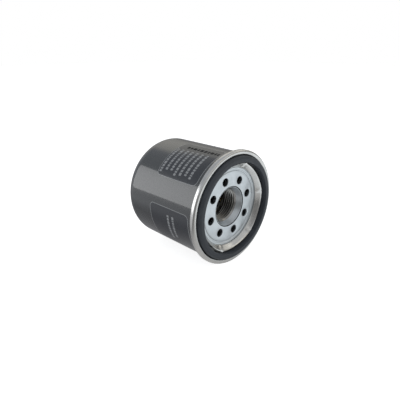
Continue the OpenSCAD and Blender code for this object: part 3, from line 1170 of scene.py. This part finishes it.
    def _bore_holes(self, bm: bmesh.types.BMesh, front: list, back: list) -> None:
        """Joins the rims on the two faces through the plate, with rounded ends.

        Args:
            bm: The plate.
            front: Edges of the rims on the front face.
            back: Edges of the rims on the back face.
        """
        for y, z in self._hole_centres():
            centre = Vector((0, y * MM, z * MM))
            loops = []
            for edges in (front, back):
                near = [
                    e
                    for e in edges
                    if (Vector((0, e.verts[0].co.y, e.verts[0].co.z)) - centre).length
                    < (self.hole_radius + 1) * MM
                ]
                loops.append(near)
            rings = []
            for loop, way in zip(loops, (-1, 1)):
                ring = loop
                for shrink, sink in ((0.14, 0.05), (0.22, 0.22)):
                    made = bmesh.ops.extrude_edge_only(bm, edges=ring)
                    verts = [g for g in made["geom"] if isinstance(g, bmesh.types.BMVert)]
                    ring = [
                        g
                        for g in made["geom"]
                        if isinstance(g, bmesh.types.BMEdge) and all(v in verts for v in g.verts)
                    ]
                    flat = (self.face if way < 0 else self.back) + way * sink
                    for vert in verts:
                        out = (Vector((0, vert.co.y, vert.co.z)) - centre).normalized()
                        reach = (self.hole_radius + self.hole_round - shrink) * MM
                        vert.co = centre + out * reach + Vector((flat * MM, 0, 0))
                rings.append(ring)
            bmesh.ops.bridge_loops(bm, edges=rings[0] + rings[1])

    def build(self) -> bpy.types.Object:
        """Returns the plate with its neck."""
        bm = self._outer()
        append(bm, self._neck())
        front = self._holed_face(bm, self.face)
        back = self._holed_face(bm, self.back)
        self._bore_holes(bm, front, back)
        bmesh.ops.remove_doubles(bm, verts=bm.verts, dist=MERGE_DISTANCE)
        bmesh.ops.recalc_face_normals(bm, faces=bm.faces)
        for face in bm.faces:
            centre = face.calc_center_median()
            in_bore = radius_of(centre) < self.lead_in_radius + 0.02
            in_groove = (
                abs(radius_of(centre) - self.mouth_radius - 0.05) < 0.3
                and self.face - self.groove_depth - 0.1 < centre.x / MM < self.face - 0.4
            )
            face.material_index = PLATE_STEEL
            if in_bore:
                face.material_index = CUT_STEEL
            # The mouth groove's faces get the painted shade.
            if in_groove:
                face.material_index = PAINTED_GROOVE_SHADE
        return Piece("tapping_plate_body", Body.HOUSING, "plate_steel", ("tapping_plate",)).build(
            bm,
            [self.steel.make(), self.cut_steel.make(), self.groove_steel.make()],
            crease=28.0,
        )


@dataclass
class SealingRing:
    """The rubber gasket in the lid's channel."""

    bore: float = 27.3
    radius: float = 30.95
    back: float = -5.7
    crown: float = 1.6
    heel: float = 0.8
    edge: float = 0.4
    rubber: MouldedRubber = MouldedRubber("gasket_moulded_rubber")

    def build(self) -> bpy.types.Object:
        """Returns the gasket."""
        outline = bent_wire(
            [
                Corner(self.bore, 0.0, self.edge, 5),
                Corner(self.radius, 0.0, self.crown, 9),
                Corner(self.radius, self.back, self.heel, 6),
                Corner(self.bore, self.back, self.edge, 4),
            ],
            closed=True,
        )
        turn_round(outline)
        return Piece("sealing_gasket", Body.HOUSING, "gasket_rubber", ("gasket",)).build(
            outline, [self.rubber.make()], crease=40.0
        )


# --------------------------------------------------------------------------
# Valves and springs
# --------------------------------------------------------------------------


@dataclass
class DrainbackValve:
    """The rubber collar round the neck, with its lip under the inlet holes."""

    bore: float = 11.688
    collar: float = 13.088
    foot_bore: float = 10.588
    foot_radius: float = 15.988
    foot_front: float = -18.6
    foot_back: float = -20.0
    root: float = -15.2
    lip_radius: float = 21.188
    lip_depth: float = -8.8
    bead: float = 1.1
    flap: float = 0.9
    bend_start: float = -15.0
    bend_end: float = -10.0
    rubber: MouldedRubber = MouldedRubber(
        "valve_nitrile_rubber", (0.012, 0.012, 0.013), (0.022, 0.022, 0.024), (0.5, 0.68)
    )

    def build(self) -> bpy.types.Object:
        """Returns the valve, left unattached to any body."""
        reach = self.lip_radius - self.bead
        tip = self.lip_depth - self.bead
        slope = Vector((reach - self.collar, tip - self.root)).normalized()
        across = Vector((-slope.y, slope.x)) * self.flap
        outline = bent_wire(
            [
                Corner(self.foot_bore, self.foot_front, 0.2, 3),
                Corner(self.foot_bore, self.foot_back, 0.2, 3),
                Corner(self.foot_radius, self.foot_back, 0.3, 4),
                Corner(self.foot_radius, self.foot_front, 0.3, 4),
                Corner(self.collar, self.foot_front, 0.5, 4),
                Corner(self.collar, self.root, 1.2, 5),
                Corner(reach, tip, 1.2, 5),
                Corner(self.lip_radius, tip, 0.3, 4),
                Corner(self.lip_radius, self.lip_depth, 0.3, 4),
                Corner(reach, self.lip_depth, 0.2, 3),
                Corner(reach + across.x, tip + across.y, 0.2, 3),
                Corner(self.collar + across.x + 0.3, self.root + across.y + 0.2, 0.3, 4),
                Corner(self.bore, self.root + self.flap + 0.4, 0.2, 3),
                Corner(self.bore, self.foot_front),
            ],
            closed=True,
        )
        turn_round(outline, 128)
        valve = Piece(
            "drainback_valve_rubber", Body.VALVE_LIP, "valve_rubber", ("drainback_valve",)
        ).build(outline, [self.rubber.make()], ride=False)
        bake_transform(valve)
        return valve


@dataclass
class CoilSpring:
    """A coil spring of round wire with one closed coil at each end."""

    node: str
    body: Body
    joint: Joint
    turns: int
    forward: bool
    radii: tuple[float, float]
    wire: float
    travel: float
    steps: int = 36
    sides: int = 14
    closed_pitch: float = 1.05
    steel: PressedSteel = PressedSteel(
        "spring_drawn_wire", (0.56, 0.56, 0.55), (0.42, 0.42, 0.41), (0.24, 0.4), 3000.0, 0.003
    )

    def build(self) -> bpy.types.Object:
        """Returns the spring."""
        back, front = span(self.node)
        height = front - back - self.wire
        start = back + self.wire / 2 if self.forward else front - self.wire / 2
        bm = bmesh.new()
        bmesh.ops.create_circle(
            bm,
            cap_ends=True,
            radius=self.wire / 2 * MM,
            segments=self.sides,
            matrix=Matrix.Translation((start * MM, self.radii[0] * MM, 0)),
        )
        way = 1.0 if self.forward else -1.0
        closed = self.closed_pitch * self.wire
        open_pitch = (height - 2 * closed) / (self.turns - 2)
        spread = (self.radii[1] - self.radii[0]) / (self.turns * self.steps)
        last = bm.faces[:]
        for step in range(self.turns * self.steps):
            turn = (step + 0.5) / self.steps
            pitch = closed if turn < 1 or turn > self.turns - 1 else open_pitch
            made = bmesh.ops.spin(
                bm,
                geom=last,
                cent=(0, 0, 0),
                axis=(1, 0, 0),
                dvec=(way * pitch / self.steps * MM, 0, 0),
                angle=math.tau / self.steps,
                steps=1,
                use_merge=False,
                use_duplicate=False,
            )
            last = [g for g in made["geom_last"] if isinstance(g, bmesh.types.BMFace)]
            verts = list({v for face in last for v in face.verts})
            middle = sum((v.co for v in verts), Vector()) / len(verts)
            out = Vector((0, middle.y, middle.z)).normalized()
            bmesh.ops.translate(bm, verts=verts, vec=out * spread * MM)
        bmesh.ops.recalc_face_normals(bm, faces=bm.faces)
        piece = Piece(self.node + "_wire", self.body, "spring_steel", (self.node,))
        spring = piece.build(bm, [self.steel.make()], crease=60.0)
        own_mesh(spring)
        return spring


def springs() -> list[CoilSpring]:
    """Returns the hold-down spring and the bypass valve's spring."""
    return [
        CoilSpring(
            "hold_down_spring",
            Body.HOUSING,
            Joint.FLOAT,
            turns=5,
            forward=False,
            radii=(13.2, 17.0),
            wire=1.6,
            travel=1.5,
        ),
        CoilSpring(
            "bypass_spring",
            Body.ELEMENT,
            Joint.BYPASS,
            turns=3,
            forward=True,
            radii=(4.975, 4.975),
            wire=0.8,
            travel=2.5,
        ),
    ]


# --------------------------------------------------------------------------
# Inner pieces whose CAD shape stays
# --------------------------------------------------------------------------


@dataclass
class InnerPieces:
    """Dresses the CAD nodes that stay as they are."""

    caps: PressedSteel = PressedSteel("cap_tinplate", (0.7, 0.7, 0.69), (0.56, 0.56, 0.55))
    valve: PressedSteel = PressedSteel(
        "valve_pressed_steel", (0.66, 0.65, 0.62), (0.5, 0.5, 0.48), (0.25, 0.42), 7000.0
    )
    seal: MouldedRubber = MouldedRubber(
        "bypass_seal_rubber", (0.02, 0.02, 0.022), (0.035, 0.035, 0.04)
    )
    glue: SetAdhesive = SetAdhesive("end_cap_adhesive")
    compound: SetAdhesive = SetAdhesive(
        "seam_sealing_compound", (0.16, 0.11, 0.07), (0.24, 0.18, 0.12)
    )
    paper: FilterPaper = FilterPaper("pleated_filter_paper")

    def dress(self) -> None:
        """Gives each staying CAD node its finish."""
        plan = [
            (self.caps, ("front_end_cap", "rear_end_cap", "centre_tube")),
            (self.caps, ("media_clip", "spring_seat")),
            (self.valve, ("bypass_seat", "bypass_cage", "bypass_disc")),
            (self.seal, ("bypass_seal",)),
            (self.glue, ("front_potting", "rear_potting")),
            (self.compound, ("seam_compound",)),
            (self.paper, ("filter_media",)),
        ]
        made = {}
        for finish, names in plan:
            if finish.name not in made:
                made[finish.name] = finish.make()
            material = made[finish.name]
            for name in names:
                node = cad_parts[name]
                node.data.materials.clear()
                node.data.materials.append(material)
                log.info("%s: dressed with %s", name, material.name)


# --------------------------------------------------------------------------
# Studio
# --------------------------------------------------------------------------


@dataclass
class Studio:
    """Pale floor, soft light and the camera."""

    floor_depth: float = -34.0
    floor_size_m: float = 6.0
    camera_place_m: tuple[float, float, float] = (0.1226, -0.1551, 0.0848)
    camera_aim_m: tuple[float, float, float] = (-0.01204, -0.01874, 0.00783)
    lens_mm: float = 33.7
    panel_place_m: tuple[float, float, float] = (-0.42, -0.45, 0.10)
    panel_size_m: tuple[float, float] = (0.5, 0.45)
    panel_power_w: float = 1.08
    # Colours the floor glows with in reflections: painted reflection in place of a lit floor, with
    # painted shadow close to the filter.
    floor_behind_left: Colour = (0.26, 0.26, 0.27)
    floor_behind_right: Colour = (0.86, 0.9, 0.92)
    floor_left_close_painted_shadow: Colour = (0.24, 0.24, 0.25)
    floor_left_far: Colour = (0.55, 0.56, 0.58)
    floor_front_close: Colour = (0.5, 0.5, 0.5)
    floor_front_far: Colour = (0.19, 0.19, 0.19)
    room_left: Colour = (0.4, 0.42, 0.45)
    room_right: Colour = (0.52, 0.53, 0.54)
    room_shade: Colour = (0.22, 0.22, 0.22)
    wall_foot: Colour = (0.15, 0.15, 0.15)
    wall_top: Colour = (0.9, 0.88, 0.82)

    def floor(self) -> None:
        """Lays the pale floor; to reflections it shows a painted reflection instead of lit floor,
        darker except behind on the right, with painted shadow near the filter on the left.
        """
        bm = bmesh.new()
        bmesh.ops.create_grid(bm, x_segments=1, y_segments=1, size=self.floor_size_m / 2)
        bmesh.ops.translate(bm, verts=bm.verts, vec=(0, 0, self.floor_depth * MM))
        mesh = bpy.data.meshes.new("floor")
        bm.to_mesh(mesh)
        bm.free()
        floor = bpy.data.objects.new("floor", mesh)
        bpy.context.scene.collection.objects.link(floor)
        material = bpy.data.materials.new("floor_pale")
        material.use_nodes = True
        nodes = Nodes(material.node_tree)
        material.node_tree.nodes.clear()
        out = nodes.add("ShaderNodeOutputMaterial")
        soft = nodes.add("ShaderNodeBsdfDiffuse")
        soft.inputs["Color"].default_value = (0.9, 0.9, 0.9, 1)
        path = nodes.add("ShaderNodeLightPath")
        lift = nodes.add("ShaderNodeEmission")
        nodes.join(nodes.maths("MULTIPLY", path.outputs["Is Camera Ray"], 0.8), lift, "Strength")
        seen = nodes.add("ShaderNodeAddShader")
        nodes.join(soft.outputs[0], seen, 0)
        nodes.join(lift.outputs[0], seen, 1)
        where = nodes.add("ShaderNodeTexCoord")
        split = nodes.add("ShaderNodeSeparateXYZ")
        nodes.join(where.outputs["Object"], split, 0)
        near_side = nodes.spread(split.outputs[1], (0.02, -0.02), (0, 1), smooth=True)
        right_side = nodes.spread(split.outputs[0], (-0.05, 0.0), (0, 1), smooth=True)
        shade = nodes.maths("MULTIPLY", near_side, right_side)
        out_right = nodes.spread(split.outputs[0], (-0.03, 0.03), (0, 1), smooth=True)
        behind = nodes.mixed(out_right, self.floor_behind_left, self.floor_behind_right)
        far = nodes.spread(split.outputs[1], (-0.045, -0.09), (0, 1), smooth=True)
        left = nodes.mixed(far, self.floor_left_close_painted_shadow, self.floor_left_far)
        pale = nodes.mixed(near_side, behind, left)
        front = nodes.mixed(far, self.floor_front_close, self.floor_front_far)
        # Reflections see only this glow: painted reflection of the floor, with painted shadow near
        # the filter.
        glow = nodes.add("ShaderNodeEmission")
        nodes.join(nodes.mixed(shade, pale, front), glow, "Color")
        mix = nodes.add("ShaderNodeMixShader")
        nodes.join(path.outputs["Is Glossy Ray"], mix, 0)
        nodes.join(seen.outputs[0], mix, 1)
        nodes.join(glow.outputs[0], mix, 2)
        nodes.join(mix.outputs[0], out, 0)
        mesh.materials.append(material)

    def surround(self) -> None:
        """Sets the soft light all round: a bright far side, a dimmer ceiling and near side."""
        world = bpy.data.worlds.new("studio")
        bpy.context.scene.world = world
        world.use_nodes = True
        nodes = Nodes(world.node_tree)
        world.node_tree.nodes.clear()
        out = nodes.add("ShaderNodeOutputWorld")
        where = nodes.add("ShaderNodeTexCoord")
        split = nodes.add("ShaderNodeSeparateXYZ")
        nodes.join(where.outputs["Generated"], split, 0)
        far_side = nodes.spread(split.outputs[1], (0.1, 0.3), (0, 1), smooth=True)
        below_edge = nodes.spread(split.outputs[2], (0.62, 0.65), (1, 0), smooth=True)
        backdrop = nodes.maths("MULTIPLY", far_side, below_edge)
        right_side = nodes.spread(split.outputs[0], (-0.1, 0.4), (0, 1), smooth=True)
        near_side = nodes.spread(split.outputs[1], (0.1, -0.3), (0, 1), smooth=True)
        low = nodes.spread(split.outputs[2], (0.55, 0.35), (0, 1), smooth=True)
        shade = nodes.maths("MULTIPLY", nodes.maths("MULTIPLY", near_side, right_side), low)
        base = nodes.mixed(right_side, self.room_left, self.room_right)
        base = nodes.mixed(shade, base, self.room_shade)
        height = nodes.spread(split.outputs[2], (0.0, 0.64), (0, 1))
        wall = nodes.mixed(height, self.wall_foot, self.wall_top)
        light = nodes.add("ShaderNodeBackground")
        nodes.join(nodes.mixed(backdrop, base, wall), light, "Color")
        plain = nodes.add("ShaderNodeBackground")
        path = nodes.add("ShaderNodeLightPath")
        mix = nodes.add("ShaderNodeMixShader")
        plain.inputs["Color"].default_value = (1, 1, 1, 1)
        nodes.join(path.outputs["Is Camera Ray"], mix, 0)
        nodes.join(light.outputs[0], mix, 1)
        nodes.join(plain.outputs[0], mix, 2)
        nodes.join(mix.outputs[0], out, 0)

    def panel(self) -> None:
        """Hangs the soft panel on the camera's left."""
        data = bpy.data.lights.new("left_panel", "AREA")
        data.shape = "RECTANGLE"
        data.size, data.size_y = self.panel_size_m
        data.energy = self.panel_power_w
        light = bpy.data.objects.new("left_panel", data)
        bpy.context.scene.collection.objects.link(light)
        light.location = self.panel_place_m
        light.rotation_mode = "QUATERNION"
        light.rotation_quaternion = (-Vector(self.panel_place_m)).to_track_quat("-Z", "Y")

    def camera(self) -> None:
        """Places the camera."""
        data = bpy.data.cameras.new("camera")
        data.lens = self.lens_mm
        data.clip_start = 0.01
        camera = bpy.data.objects.new("camera", data)
        bpy.context.scene.collection.objects.link(camera)
        camera.location = self.camera_place_m
        aim = Vector(self.camera_aim_m) - Vector(self.camera_place_m)
        camera.rotation_mode = "QUATERNION"
        camera.rotation_quaternion = aim.to_track_quat("-Z", "Y")
        bpy.context.scene.camera = camera

    def build(self) -> None:
        """Sets up the whole studio."""
        self.floor()
        self.surround()
        self.panel()
        self.camera()
        bpy.context.scene.view_settings.view_transform = "Standard"


def printed_panels() -> list[PrintedPanel]:
    """Returns the two printed panels, with plain dashes in place of any words."""
    upper_rows = [(-38.0 + 3.9 * row, 1.7, 17.5, 51.0 - 1.5 * (row % 3)) for row in range(7)]
    lower_rows = [(-24.5, 1.6, 92.0, 122.0), (-20.5, 1.6, 92.0, 118.0)]
    return [
        PrintedPanel(
            "upper_print", (-40.0, -8.0), (2.0, 55.0), upper_rows, 7, (-34.0, -9.5, 9.5, 13.5)
        ),
        PrintedPanel("lower_print", (-40.0, -8.0), (84.0, 136.0), lower_rows, 11),
    ]


def main() -> None:
    """Builds the filter and its studio."""
    logging.basicConfig(level=logging.INFO, format="%(name)s %(message)s")
    Can().build()
    for panel in printed_panels():
        panel.build()
    SeamingLid().build()
    TappingPlate().build()
    SealingRing().build()
    DrainbackValve().build()
    for spring in springs():
        spring.build()
    InnerPieces().dress()
    Studio().build()


if __name__ == "__main__":
    main()
